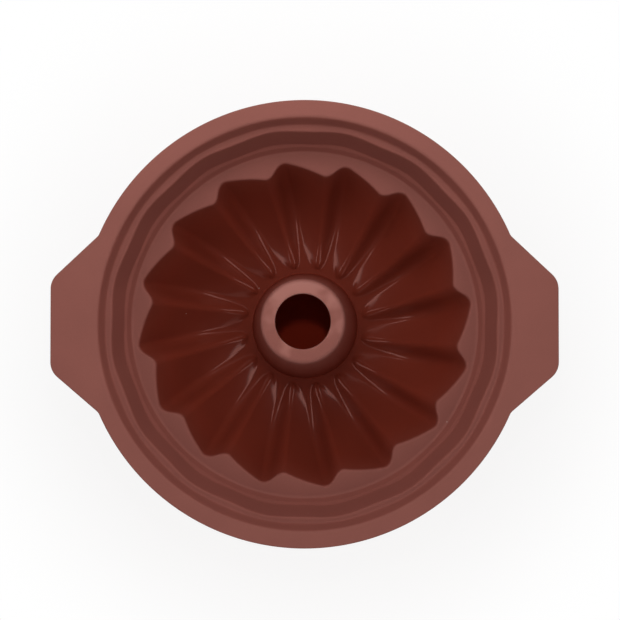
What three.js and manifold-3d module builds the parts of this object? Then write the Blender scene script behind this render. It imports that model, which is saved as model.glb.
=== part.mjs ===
// Silicone fluted tube pan: a round cake mould with leaning flutes, a hollow centre tube, a
// stepped collar, and a flat rim flange that widens into a tab handle on either side.
// Millimetres, +Z up. The origin is on the table under the middle of the tube, and +X points
// to the right handle.
import * as THREE from "three";
import { mergeVertices } from "three/addons/utils/BufferGeometryUtils.js";
import Module from "manifold-3d";

const wasm = await Module();
wasm.setup();

// Overall sizes
const PAN_HEIGHT = 88; // table to the top of the flange
const FLANGE_DIAMETER = 250;
const WALL = 2.4; // thickness of the silicone everywhere

// Rim flange and tab handles
const FLANGE_WIDTH = 9.7;
const FLANGE_SEAM_INSET = 2; // from the flange's inner edge out to where its flat plate starts
const HANDLE_REACH = 16.6; // how far a tab stands out past the flange
const HANDLE_END_WIDTH = 49.4; // across the outer edge, to its sharp corners
const HANDLE_ROOT_WIDTH = 97.4; // across the tab where it leaves the flange
const HANDLE_CORNER_RADIUS = 11;
const HANDLE_ROOT_FILLET = 5;
const FLEX_CLEARANCE = 0.3; // between a tab's half-round root and the flange

// Stepped collar, from the flange's inner edge down to the flute shelf
const STEP_RUN = 3.2; // how far the first riser leans in
const STEP_DEPTH = 8;
const LEDGE_WIDTH = 3.3;
const COLLAR_RUN = 5.4;
const COLLAR_DEPTH = 18;
const CREASE_WIDTH = 1.2; // the narrow second ledge
const SKIRT_RUN = 2.6;
const SKIRT_DEPTH = 5.5;
const EDGE_ROUND = 1.5; // convex edges of the cavity side
const INSIDE_FILLET = 1.2; // concave corners of the cavity side
const LEAST_ROUND = 0.4; // outer side, where the wall is thicker than the edge's rounding
const LARGEST_ROUND_SHARE = 0.45; // of the shorter side at a corner, that its rounding may take
const SCALLOP_DEPTH = 1.3; // the collar's wave, deepest halfway down
const SCALLOP_LAG = 2.8; // degrees from a flute's tip to the wave's crest

// Flutes
const FLUTE_COUNT = 16;
const SHELF_WIDTH = 4.5; // from the collar's foot to the flute tips
const FLUTE_DEPTH = 7.5; // radius at a tip less radius at a ridge, at the shelf
const FLUTE_LEAN = 0.72; // share of the pitch that the long face takes
const FLUTE_ROUND = 0.06; // share of the pitch that each ridge and valley is rounded over
const FIRST_RIDGE_ANGLE = -7.75; // degrees from +X
const VALLEY_DRAFT = 12; // degrees off vertical, at the shelf
const RIDGE_DRAFT = 14;
const VALLEY_FLOOR_WIDTH = 9.5; // level part of a valley, out from the floor ring
const BOWL_FULLNESS = 0.54; // how far the flutes' curves follow their end directions

// Floor ring and centre tube
const FLOOR_RING_WIDTH = 4.8;
const TUBE_FOOT_DIAMETER = 63.4;
const TUBE_TOP_DIAMETER = 46.7;
const TUBE_BORE_DIAMETER = 31;
const TUBE_DROP = 3; // top of the tube below the top of the flange

// Mesh fineness
const LONG_FACE_STEPS = 3;
const SHORT_FACE_STEPS = 2;
const FLUTE_STEPS = 6;
const ROUND_STEPS = 2;
const FLANGE_QUARTER_STEPS = 14;
const CORNER_STEPS = 4;
const ROLL_SIDES = 12;
const MERGE_DISTANCE = 1e-4;

// Look of the silicone: matt on the rim, satin where the cavity is polished
const SILICONE_COLOUR = 0x8a5048;
const MATT = 0.7;
const SATIN = 0.45;

// Radii and heights that several pieces share
const flangeRadius = FLANGE_DIAMETER / 2;
const stepTopRadius = flangeRadius - FLANGE_WIDTH;
const flangeSeamRadius = stepTopRadius + FLANGE_SEAM_INSET;
const stepFootRadius = stepTopRadius - STEP_RUN;
const ledgeInnerRadius = stepFootRadius - LEDGE_WIDTH;
const collarFootRadius = ledgeInnerRadius - COLLAR_RUN;
const creaseInnerRadius = collarFootRadius - CREASE_WIDTH;
const skirtFootRadius = creaseInnerRadius - SKIRT_RUN;
const tipRadius = skirtFootRadius - SHELF_WIDTH;
const ridgeRadius = tipRadius - FLUTE_DEPTH;
const tubeFootRadius = TUBE_FOOT_DIAMETER / 2;
const floorRingRadius = tubeFootRadius + FLOOR_RING_WIDTH;
const ledgeHeight = PAN_HEIGHT - STEP_DEPTH;
const creaseHeight = ledgeHeight - COLLAR_DEPTH;
const shelfHeight = creaseHeight - SKIRT_DEPTH;
const shelfDepth = PAN_HEIGHT - shelfHeight;
const tubeTopHeight = PAN_HEIGHT - TUBE_DROP;

// Angles around the pan: each flute runs from one ridge to the next
const pitch = (2 * Math.PI) / FLUTE_COUNT;
const firstRidge = THREE.MathUtils.degToRad(FIRST_RIDGE_ANGLE);
const ridgeOffset = FLUTE_ROUND * (2 * FLUTE_LEAN - 1);
const valleyShare = FLUTE_LEAN - 2 * ridgeOffset;
const scallopCrest = firstRidge + valleyShare * pitch + THREE.MathUtils.degToRad(SCALLOP_LAG);

/** Shares of one flute's pitch at which its sections lie, from its ridge up to the next one. */
function fluteShares() {
  const shares = [];
  for (let i = 0; i < LONG_FACE_STEPS; i += 1) {
    shares.push((valleyShare * i) / LONG_FACE_STEPS);
  }
  for (let i = 0; i < SHORT_FACE_STEPS; i += 1) {
    shares.push(valleyShare + ((1 - valleyShare) * i) / SHORT_FACE_STEPS);
  }
  return shares;
}

/** Angles of every section around the pan. */
function ringAngles() {
  const angles = [];
  for (let flute = 0; flute < FLUTE_COUNT; flute += 1) {
    for (const share of fluteShares()) {
      angles.push(firstRidge + (flute + share) * pitch);
    }
  }
  return angles;
}

/**
 * How far the wall lies from the ridge line, 0, to the valley line, 1: a leaning sawtooth,
 * averaged over a short window so that its corners are round.
 */
function sawtooth(angle) {
  const areaTo = (share) => {
    const whole = Math.floor(share);
    const part = share - whole;
    const rise = (part * part) / (2 * FLUTE_LEAN);
    const fall = 0.5 - ((1 - part) * (1 - part)) / (2 * (1 - FLUTE_LEAN));
    return whole / 2 + (part < FLUTE_LEAN ? rise : fall);
  };
  const share = (angle - firstRidge) / pitch + ridgeOffset;
  const mean = (areaTo(share + FLUTE_ROUND) - areaTo(share - FLUTE_ROUND)) / (2 * FLUTE_ROUND);
  return (mean - FLUTE_ROUND) / (1 - 2 * FLUTE_ROUND);
}

/** The side of a line's direction that faces away from the cavity. */
function outward(direction) {
  return new THREE.Vector2(-direction.y, direction.x);
}

/** A corner of a cross-section: radius, height and the rounding there. */
function corner(radius, height, round = 0) {
  return { point: new THREE.Vector2(radius, height), round };
}

/** Direction from one corner to the next. */
function direction(from, to) {
  return to.point.clone().sub(from.point).normalize();
}

/** The offset at a corner that keeps both of its sides one wall thick. */
function mitre(normalIn, normalOut) {
  return normalIn.clone().add(normalOut).multiplyScalar(WALL / (1 + normalIn.dot(normalOut)));
}

/** The outer side of a cavity-side line: each corner moved one wall away and rounded to suit. */
function outerCorners(corners) {
  return corners.map((each, i) => {
    const before = corners[i - 1] ? direction(corners[i - 1], each) : null;
    const after = corners[i + 1] ? direction(each, corners[i + 1]) : null;
    const normalIn = outward(before ?? after);
    const normalOut = outward(after ?? before);
    const turnsOut = normalIn.cross(normalOut) > 0;
    const round = turnsOut ? Math.max(each.round - WALL, LEAST_ROUND) : each.round + WALL;
    return {
      point: each.point.clone().add(mitre(normalIn, normalOut)),
      round: each.round > 0 ? round : 0,
    };
  });
}

/** The points of a line at each of its corners: one where it is sharp, a curve where it is round. */
function roundedCorners(corners) {
  return corners.map((each, i) => {
    if (each.round === 0 || i === 0 || i === corners.length - 1) {
      return [each.point];
    }
    const into = direction(corners[i - 1], each);
    const outOf = direction(each, corners[i + 1]);
    const shorter = Math.min(
      each.point.distanceTo(corners[i - 1].point),
      each.point.distanceTo(corners[i + 1].point),
    );
    const halfTurn = Math.acos(THREE.MathUtils.clamp(into.dot(outOf), -1, 1)) / 2;
    const reach = Math.min(each.round * Math.tan(halfTurn), LARGEST_ROUND_SHARE * shorter);
    const start = each.point.clone().addScaledVector(into, -reach);
    const end = each.point.clone().addScaledVector(outOf, reach);
    return new THREE.QuadraticBezierCurve(start, each.point, end).getPoints(ROUND_STEPS);
  });
}

/** The closed section between a cavity-side line and the outer line behind it. */
function closedSection(cavity, outer) {
  return [...cavity, ...outer.slice().reverse()];
}

/** A section point turned to its place around the pan. */
function place(point, angle) {
  return new THREE.Vector3(point.x * Math.cos(angle), point.x * Math.sin(angle), point.y);
}

/**
 * A closed solid through sections of equal length, each turned to its angle: a whole ring, or a
 * sector whose two ends are closed between the cavity side and the outer side.
 */
function sweep(sections, angles, isRing) {
  const count = sections[0].length;
  const positions = sections.flatMap((section, j) => section.map((p) => place(p, angles[j])));
  const triangles = [];
  const quad = (a, b, c, d) => triangles.push(a, b, c, a, c, d);
  const spans = isRing ? sections.length : sections.length - 1;
  for (let j = 0; j < spans; j += 1) {
    const here = j * count;
    const next = ((j + 1) % sections.length) * count;
    const end = count - 1;
    for (let i = 0; i < end; i += 1) {
      quad(here + i, next + i, next + i + 1, here + i + 1);
    }
    // The first wall is split along the diagonal that the neighbour's last wall has
    quad(next + end, next, here, here + end);
  }
  if (!isRing) {
    const last = spans * count;
    for (let i = 0; i + 1 < count / 2; i += 1) {
      const behind = count - 1 - i;
      quad(i, i + 1, behind - 1, behind);
      quad(last + behind, last + behind - 1, last + i + 1, last + i);
    }
  }
  const geometry = new THREE.BufferGeometry().setFromPoints(positions);
  geometry.setIndex(triangles);
  geometry.computeVertexNormals();
  return geometry;
}

/** A ring whose section may change around the pan. */
function ring(sectionAt) {
  const angles = ringAngles();
  return sweep(angles.map(sectionAt), angles, true);
}

/** A closed geometry as a solid that can be joined to another. */
function solid(geometry) {
  const bare = geometry.clone();
  bare.deleteAttribute("normal");
  bare.deleteAttribute("uv");
  const merged = mergeVertices(bare, MERGE_DISTANCE);
  return new wasm.Manifold(new wasm.Mesh({
    numProp: 3,
    vertProperties: new Float32Array(merged.attributes.position.array),
    triVerts: new Uint32Array(merged.index.array),
  }));
}

/** Two overlapping geometries as one body. */
function joined(first, second) {
  const mesh = solid(first).add(solid(second)).getMesh();
  const geometry = new THREE.BufferGeometry();
  geometry.setAttribute("position", new THREE.BufferAttribute(mesh.vertProperties, 3));
  geometry.setIndex(new THREE.BufferAttribute(mesh.triVerts, 1));
  geometry.computeVertexNormals();
  return geometry;
}

// Outline of the tab handles: a straight end, rounded corners and slanted sides
const handleEnd = flangeRadius + HANDLE_REACH;
const endCorner = new THREE.Vector2(handleEnd, HANDLE_END_WIDTH / 2);
const rootHalf = HANDLE_ROOT_WIDTH / 2;
const rootCorner = new THREE.Vector2(Math.sqrt(flangeRadius ** 2 - rootHalf ** 2), rootHalf);
const slant = rootCorner.clone().sub(endCorner).normalize();
const slantNormal = new THREE.Vector2(slant.y, -slant.x);
const flexLine = flangeRadius; // where a tab bends, as a distance from the tube's axis
const flangeEdge = flexLine - WALL / 2 - FLEX_CLEARANCE;

/** Half the width of a tab at a distance from the tube's axis. */
function tabHalfWidth(x) {
  return endCorner.y + (slant.y / slant.x) * (x - endCorner.x);
}

/** The fillet that runs from a tab's slanted side into the flange's round edge. */
function rootFillet() {
  const start = rootCorner.clone().addScaledVector(slantNormal, HANDLE_ROOT_FILLET);
  const along = start.dot(slant);
  const reach = flangeRadius + HANDLE_ROOT_FILLET;
  const shift = -along - Math.sqrt(along ** 2 - start.lengthSq() + reach ** 2);
  const centre = start.addScaledVector(slant, shift);
  const fromTab = slantNormal.clone().negate().angle();
  const toRim = centre.clone().negate().angle();
  const curve = new THREE.EllipseCurve(
    centre.x, centre.y, HANDLE_ROOT_FILLET, HANDLE_ROOT_FILLET, fromTab, toRim, true,
  );
  return { curve, rimAngle: centre.angle() };
}

/** The flat rim plate, round but for the two roots that the tabs grow from. */
function flangeGeometry() {
  const fillet = rootFillet();
  const rim = new THREE.EllipseCurve(
    0, 0, flangeRadius, flangeRadius, fillet.rimAngle, Math.PI / 2, false,
  );
  const quarter = [
    new THREE.Vector2(flangeEdge, tabHalfWidth(flangeEdge)),
    ...fillet.curve.getPoints(CORNER_STEPS),
    ...rim.getPoints(FLANGE_QUARTER_STEPS).slice(1),
  ];
  const mirrored = quarter.slice(0, -1).reverse().map((p) => new THREE.Vector2(-p.x, p.y));
  const half = [...quarter, ...mirrored];
  const shape = new THREE.Shape([...half, ...half.map((p) => p.clone().negate())]);
  const opening = ringAngles().map(
    (a) => new THREE.Vector2(flangeSeamRadius * Math.cos(a), flangeSeamRadius * Math.sin(a)),
  );
  shape.holes.push(new THREE.Path(opening));
  const plate = new THREE.ExtrudeGeometry(shape, { depth: WALL, bevelEnabled: false });
  return plate.translate(0, 0, PAN_HEIGHT - WALL);
}

/** The right-hand tab, with a half-round root so that it can turn about its flex line. */
function handleGeometry() {
  const sharpTurn = slantNormal.angle();
  const reach = HANDLE_CORNER_RADIUS * Math.tan(sharpTurn / 2);
  const upper = new THREE.EllipseCurve(
    handleEnd - HANDLE_CORNER_RADIUS, endCorner.y - reach,
    HANDLE_CORNER_RADIUS, HANDLE_CORNER_RADIUS, 0, sharpTurn, false,
  ).getPoints(CORNER_STEPS);
  const half = [...upper, new THREE.Vector2(flexLine, tabHalfWidth(flexLine))];
  const lower = half.slice().reverse().map((p) => new THREE.Vector2(p.x, -p.y));
  const plate = new THREE.ExtrudeGeometry(
    new THREE.Shape([...half, ...lower]), { depth: WALL, bevelEnabled: false },
  );
  plate.translate(0, 0, PAN_HEIGHT - WALL);
  const rollLength = 2 * tabHalfWidth(flexLine + WALL / 2);
  const roll = new THREE.CylinderGeometry(WALL / 2, WALL / 2, rollLength, ROLL_SIDES);
  roll.translate(flexLine, 0, PAN_HEIGHT - WALL / 2);
  return joined(plate, roll);
}

// Cavity side of the collar, from the flange's flat plate to the flute shelf
const collarCorners = [
  corner(flangeSeamRadius, PAN_HEIGHT),
  corner(stepTopRadius, PAN_HEIGHT, EDGE_ROUND),
  corner(stepFootRadius, ledgeHeight),
  corner(ledgeInnerRadius, ledgeHeight, EDGE_ROUND),
  corner(collarFootRadius, creaseHeight),
  corner(creaseInnerRadius, creaseHeight),
  corner(skirtFootRadius, shelfHeight, INSIDE_FILLET),
  corner(tipRadius, shelfHeight),
];
const collarCavity = roundedCorners(collarCorners);
const collarOuter = roundedCorners(outerCorners(collarCorners));

// Places in the collar's line where one ring ends and the next starts
const [, , , ledgeInner, collarFoot, , skirtFoot] = collarCorners.keys();

/** How far the collar's wave moves it out at a height: nothing at the rim and at the shelf. */
function scallop(height, angle) {
  const depth = (PAN_HEIGHT - height) / shelfDepth;
  const wave = Math.cos(FLUTE_COUNT * (angle - scallopCrest));
  return SCALLOP_DEPTH * Math.sin(Math.PI * depth) * wave;
}

/** A ring of the collar, between one point of its cavity side and a later one. */
function collarRing(pick) {
  const cavity = pick(collarCavity);
  const outer = pick(collarOuter);
  return ring((angle) => {
    const waved = (line) =>
      line.map((p, i) => new THREE.Vector2(p.x + scallop(cavity[i].y, angle), p.y));
    return closedSection(waved(cavity), waved(outer));
  });
}

const rimStepGeometry = collarRing((line) => line.slice(0, ledgeInner + 1).flat());
const collarWallGeometry = collarRing((line) => [line[ledgeInner].at(-1), line[collarFoot][0]]);
const shelfStepGeometry = collarRing((line) => line.slice(collarFoot, skirtFoot + 1).flat());

/** A flute's ridge or valley line: steep at the shelf and level where it meets the floor. */
function fluteLine(topRadius, draftDegrees, floorRadius) {
  const draft = THREE.MathUtils.degToRad(draftDegrees);
  const top = new THREE.Vector2(topRadius, shelfHeight);
  const floor = new THREE.Vector2(floorRadius, WALL);
  const down = new THREE.Vector2(-Math.sin(draft), -Math.cos(draft));
  const belowTop = top.clone().addScaledVector(down, BOWL_FULLNESS * (top.y - floor.y));
  const besideFloor = floor.clone();
  besideFloor.x += BOWL_FULLNESS * (top.x - floor.x);
  return new THREE.CubicBezierCurve(top, belowTop, besideFloor, floor);
}

/** Cavity-side and outer points of a flute's line, from the shelf to the floor ring. */
function fluteStations(line, steps) {
  const levelNormal = new THREE.Vector2(0, -1);
  const shares = Array.from({ length: steps + 1 }, (_, i) => i / steps);
  const cavity = shares.map((t) => line.getPoint(t));
  const outer = shares.map((t, i) => {
    const normal = outward(line.getTangent(t));
    const shift = i === 0 ? mitre(levelNormal, normal) : normal.multiplyScalar(WALL);
    return cavity[i].clone().add(shift);
  });
  return { cavity, outer };
}

const ridgeLine = fluteLine(ridgeRadius, RIDGE_DRAFT, floorRingRadius);
const valleyLine = fluteLine(tipRadius, VALLEY_DRAFT, floorRingRadius + VALLEY_FLOOR_WIDTH);
const ridgeStations = fluteStations(ridgeLine, FLUTE_STEPS);
const valleyStations = fluteStations(valleyLine, FLUTE_STEPS - 1);
valleyStations.cavity.push(new THREE.Vector2(floorRingRadius, WALL));
valleyStations.outer.push(new THREE.Vector2(floorRingRadius, 0));

/** Cavity-side and outer points of the fluted wall at an angle. */
function fluteWall(angle) {
  const share = sawtooth(angle);
  const between = (side) =>
    ridgeStations[side].map((p, i) => p.clone().lerp(valleyStations[side][i], share));
  return { cavity: between("cavity"), outer: between("outer") };
}

/** One flute, from its ridge to the next. */
function fluteGeometry() {
  const angles = [...fluteShares(), 1].map((share) => firstRidge + share * pitch);
  const sections = angles.map((angle) => {
    const wall = fluteWall(angle);
    return closedSection(wall.cavity, wall.outer);
  });
  return sweep(sections, angles, false);
}

/** The level shelf between the collar and the flutes, cut to the flutes' outline. */
const flutedShelfGeometry = ring((angle) => {
  const wall = fluteWall(angle);
  const cavity = [collarCavity[skirtFoot].at(-1), wall.cavity[0]];
  const outer = [collarOuter[skirtFoot].at(-1), wall.outer[0]];
  return closedSection(cavity, outer);
});

// Cavity side of the floor ring and the tube, up to the edge of the bore
const tubeCorners = [
  corner(floorRingRadius, WALL),
  corner(tubeFootRadius, WALL, INSIDE_FILLET),
  corner(TUBE_TOP_DIAMETER / 2, tubeTopHeight, EDGE_ROUND),
  corner(TUBE_BORE_DIAMETER / 2, tubeTopHeight),
];
const tubeCavity = roundedCorners(tubeCorners);
const tubeOuter = roundedCorners(outerCorners(tubeCorners));
const [, tubeFoot, tubeTop] = tubeCorners.keys();

/** A plain ring of the tube, between one point of its cavity side and a later one. */
function tubeRing(pick) {
  return ring(() => closedSection(pick(tubeCavity), pick(tubeOuter)));
}

const floorRingGeometry = tubeRing((line) => line.slice(0, tubeFoot + 1).flat());
const centreTubeGeometry = tubeRing((line) => [line[tubeFoot].at(-1), line[tubeTop][0]]);
const tubeLipGeometry = tubeRing((line) => line.slice(tubeTop).flat());

/** A named piece of the pan, with its own silicone. */
function piece(name, geometry, roughness) {
  const silicone = new THREE.MeshStandardMaterial({
    color: SILICONE_COLOUR, roughness, metalness: 0,
  });
  const mesh = new THREE.Mesh(geometry, silicone);
  mesh.name = name;
  return mesh;
}

const handles = new THREE.Group();
const rightHandle = piece("right_handle", handleGeometry(), MATT);
const leftHandle = piece("left_handle", handleGeometry(), MATT);
leftHandle.rotation.z = Math.PI;
handles.add(rightHandle, leftHandle);

const collar = new THREE.Group();
collar.add(
  piece("rim_flange", flangeGeometry(), MATT),
  piece("rim_step", rimStepGeometry, SATIN),
  piece("collar_wall", collarWallGeometry, SATIN),
  piece("shelf_step", shelfStepGeometry, SATIN),
  piece("flute_shelf", flutedShelfGeometry, SATIN),
);

const flutes = new THREE.Group();
for (let i = 0; i < FLUTE_COUNT; i += 1) {
  const number = String(i + 1).padStart(2, "0");
  const flute = piece(`flute_${number}`, fluteGeometry(), SATIN);
  flute.rotation.z = i * pitch;
  flutes.add(flute);
}

const tube = new THREE.Group();
tube.add(
  piece("floor_ring", floorRingGeometry, SATIN),
  piece("centre_tube", centreTubeGeometry, SATIN),
  piece("tube_lip", tubeLipGeometry, SATIN),
);

const pan = new THREE.Group();
pan.add(handles, collar, flutes, tube);

export default pan;
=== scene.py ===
"""Looks of a silicone fluted tube pan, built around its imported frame.

The pan is one silicone skin. Its collar, its flutes, its tube and its rim plate are swept by one
Geometry Nodes tree: a closed section goes round the pan while the flutes move it between a ridge
line and a valley line. The pan is soft, so its flutes' outline is slightly oval and its tube leans a
little. The rim plate is cut into the rim and the two tab handles, which bend at their roots.
Metres, +Z up, in the frame's own axes.
"""
import logging
import math
from dataclasses import dataclass, field
from enum import Enum
from typing import Any, Iterable, Mapping, NamedTuple, Optional, Sequence, Union

import bmesh
import bpy
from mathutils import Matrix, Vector
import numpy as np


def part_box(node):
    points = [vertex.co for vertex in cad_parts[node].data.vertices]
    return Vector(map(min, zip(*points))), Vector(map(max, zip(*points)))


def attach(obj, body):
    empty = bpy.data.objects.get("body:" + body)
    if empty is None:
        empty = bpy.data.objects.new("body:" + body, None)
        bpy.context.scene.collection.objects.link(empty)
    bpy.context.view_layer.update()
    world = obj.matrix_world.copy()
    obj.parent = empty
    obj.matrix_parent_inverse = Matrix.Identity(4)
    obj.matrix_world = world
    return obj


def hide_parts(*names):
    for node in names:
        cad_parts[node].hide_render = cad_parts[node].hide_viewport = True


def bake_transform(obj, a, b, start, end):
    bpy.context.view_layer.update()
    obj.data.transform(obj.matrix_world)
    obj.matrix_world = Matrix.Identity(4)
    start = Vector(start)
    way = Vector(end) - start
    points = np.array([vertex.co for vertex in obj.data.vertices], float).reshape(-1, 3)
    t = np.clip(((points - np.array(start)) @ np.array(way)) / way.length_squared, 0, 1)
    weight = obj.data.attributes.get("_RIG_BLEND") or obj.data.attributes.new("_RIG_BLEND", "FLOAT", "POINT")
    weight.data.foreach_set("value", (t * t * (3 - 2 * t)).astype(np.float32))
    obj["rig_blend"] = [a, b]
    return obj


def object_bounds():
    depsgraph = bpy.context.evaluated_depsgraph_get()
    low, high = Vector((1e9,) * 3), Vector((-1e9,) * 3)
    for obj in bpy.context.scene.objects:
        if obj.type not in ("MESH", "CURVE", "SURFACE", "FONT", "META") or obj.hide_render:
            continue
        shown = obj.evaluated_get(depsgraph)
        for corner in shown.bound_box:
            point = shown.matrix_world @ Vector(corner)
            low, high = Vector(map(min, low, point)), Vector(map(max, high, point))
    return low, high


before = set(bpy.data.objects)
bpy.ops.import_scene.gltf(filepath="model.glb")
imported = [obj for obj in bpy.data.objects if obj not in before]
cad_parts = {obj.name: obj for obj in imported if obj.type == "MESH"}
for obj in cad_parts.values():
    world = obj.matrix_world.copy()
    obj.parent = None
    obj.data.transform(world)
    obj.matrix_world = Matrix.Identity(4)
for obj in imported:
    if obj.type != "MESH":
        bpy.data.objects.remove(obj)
CAD_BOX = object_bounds()
LOG = logging.getLogger("tube_pan")

Colour = tuple[float, float, float]
Point = tuple[float, float, float]
Value = Union["Sock", float]
Inputs = Mapping[Union[int, str], Any]
WHITE: Colour = (1.0, 1.0, 1.0)
# A height under the floor, for section points that nothing holds up
BELOW_ALL = -1.0


def opaque(colour: Colour) -> tuple[float, float, float, float]:
    """A colour with full alpha, as a colour socket takes it."""
    return (*colour, 1.0)


class Sock:
    """A node's output, with arithmetic that adds Math nodes to its tree."""

    def __init__(self, graph: "Graph", socket: bpy.types.NodeSocket) -> None:
        """Wraps one output socket of a tree."""
        self.graph = graph
        self.socket = socket

    def _math(self, operation: str, *values: Value) -> "Sock":
        """Adds a Math node on the given values."""
        return self.graph.node("ShaderNodeMath", {"operation": operation}, dict(enumerate(values)))["Value"]

    def __add__(self, other: Value) -> "Sock":
        """The sum with another value."""
        return self._math("ADD", self, other)

    __radd__ = __add__

    def __sub__(self, other: Value) -> "Sock":
        """This value less another."""
        return self._math("SUBTRACT", self, other)

    def __rsub__(self, other: float) -> "Sock":
        """A number less this value."""
        return self._math("SUBTRACT", other, self)

    def __mul__(self, other: Value) -> "Sock":
        """The product with another value."""
        return self._math("MULTIPLY", self, other)

    __rmul__ = __mul__

    def __truediv__(self, other: Value) -> "Sock":
        """This value divided by another."""
        return self._math("DIVIDE", self, other)

    def __rtruediv__(self, other: float) -> "Sock":
        """A number divided by this value."""
        return self._math("DIVIDE", other, self)

    def __mod__(self, other: Value) -> "Sock":
        """The remainder of this value divided by another."""
        return self._math("MODULO", self, other)

    def __rmod__(self, other: float) -> "Sock":
        """The remainder of a number divided by this value."""
        return self._math("MODULO", other, self)

    def __lt__(self, other: Value) -> "Sock":
        """1 where this value is the smaller, else 0."""
        return self._math("LESS_THAN", self, other)

    def __gt__(self, other: Value) -> "Sock":
        """1 where this value is the larger, else 0."""
        return self._math("GREATER_THAN", self, other)

    def floor(self) -> "Sock":
        """The whole number below this value."""
        return self._math("FLOOR", self)

    def cos(self) -> "Sock":
        """The cosine of this value."""
        return self._math("COSINE", self)

    def sin(self) -> "Sock":
        """The sine of this value."""
        return self._math("SINE", self)

    def soft_max(self, other: "Sock", blend: "Sock") -> "Sock":
        """The larger of this value and another, with a soft change from one to the other."""
        return self._math("SMOOTH_MAX", self, other, blend)

    def sqrt(self) -> "Sock":
        """The square root of this value."""
        return self._math("SQRT", self)

    def atan2(self, other: "Sock") -> "Sock":
        """The angle whose sine goes with this value and whose cosine goes with the other."""
        return self._math("ARCTAN2", self, other)

    def smooth_between(self, low: float, high: float) -> "Sock":
        """An eased ramp, 0 below the low value and 1 above the high one."""
        inputs = {"Value": self, "From Min": low, "From Max": high}
        return self.graph.node("ShaderNodeMapRange", {"interpolation_type": "SMOOTHSTEP"}, inputs)["Result"]


class Block:
    """A node whose outputs are read by name."""

    def __init__(self, graph: "Graph", node: bpy.types.Node) -> None:
        """Wraps one node of a tree."""
        self.graph = graph
        self.node = node

    def __getitem__(self, name: str) -> Sock:
        """The node's output of that name."""
        return Sock(self.graph, self.graph.find(self.node.outputs, name))


class Graph:
    """A node tree that nodes are added to."""

    def __init__(self, tree: bpy.types.NodeTree) -> None:
        """Starts from an empty tree."""
        self.tree = tree
        self.tree.nodes.clear()

    @staticmethod
    def find(sockets: Iterable[bpy.types.NodeSocket], key: Union[int, str]) -> bpy.types.NodeSocket:
        """Finds a socket in use.

        Args:
            sockets: the inputs or outputs of a node.
            key: the socket's place, or its name.

        Returns:
            The socket.
        """
        if isinstance(key, int):
            return sockets[key]
        return next(s for s in sockets if s.name == key and s.enabled)

    def node(
        self,
        kind: str,
        settings: Optional[Mapping[str, Any]] = None,
        inputs: Optional[Inputs] = None,
    ) -> Block:
        """Adds a node.

        Args:
            kind: the node's type.
            settings: its own settings, which are set first.
            inputs: the values or links of its sockets, by name or place.

        Returns:
            The node.
        """
        made = self.tree.nodes.new(kind)
        for name, value in (settings or {}).items():
            setattr(made, name, value)
        for key, value in (inputs or {}).items():
            socket = self.find(made.inputs, key)
            if isinstance(value, Sock):
                self.tree.links.new(value.socket, socket)
            else:
                socket.default_value = value
        return Block(self, made)

    def parts(self, vector: Sock) -> Block:
        """The X, Y and Z of a vector."""
        return self.node("ShaderNodeSeparateXYZ", None, {"Vector": vector})

    def vector(self, operation: str, inputs: Inputs) -> Block:
        """Vector maths on the given inputs."""
        return self.node("ShaderNodeVectorMath", {"operation": operation}, inputs)

    def mix(self, share: Sock, first: Any, second: Any, kind: str = "RGBA") -> Sock:
        """A colour, or a value of another kind, between two."""
        inputs = {"Factor": share, "A": first, "B": second}
        return self.node("ShaderNodeMix", {"data_type": kind}, inputs)["Result"]


class NodeSizes:
    """Sizes read from the vertices of one frame node."""

    LEVEL = 1e-5

    def __init__(self, name: str) -> None:
        """Reads a node's vertices as (radius, angle, height).

        Args:
            name: the node's name.
        """
        self.low, self.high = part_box(name)
        self.points = [
            (math.hypot(v.co.x, v.co.y), math.atan2(v.co.y, v.co.x), v.co.z)
            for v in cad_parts[name].data.vertices
        ]

    def at_top(self) -> list[tuple[float, float]]:
        """Radius and angle of the vertices at the node's greatest height, smallest radius first."""
        return sorted((r, a) for r, a, z in self.points if self.high.z - z < self.LEVEL)

    def largest_radius(self) -> float:
        """The greatest distance of a vertex from the pan's axis."""
        return max(r for r, _, _ in self.points)

    def smallest_radius(self) -> float:
        """The least distance of a vertex from the pan's axis."""
        return min(r for r, _, _ in self.points)


def sizes_of(name: str) -> Any:
    """A dataclass field that holds the sizes of a frame node."""
    return field(default_factory=lambda: NodeSizes(name))


@dataclass(frozen=True)
class FluteForm:
    """A flute's form at one height, in shares of the pitch between two ridges."""

    valley: float
    rounding: float
    turn: float

    def towards(self, other: "FluteForm", share: float, turn_share: float) -> "FluteForm":
        """Finds a form between two.

        Args:
            other: the form at the end of the way.
            share: how far along the way.
            turn_share: how far along it the turn is.

        Returns:
            The form there.
        """
        return FluteForm(
            self.valley + (other.valley - self.valley) * share,
            self.rounding + (other.rounding - self.rounding) * share,
            self.turn + (other.turn - self.turn) * turn_share,
        )

    @property
    def numbers(self) -> Point:
        """The form as three numbers."""
        return (self.valley, self.rounding, self.turn)


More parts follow.
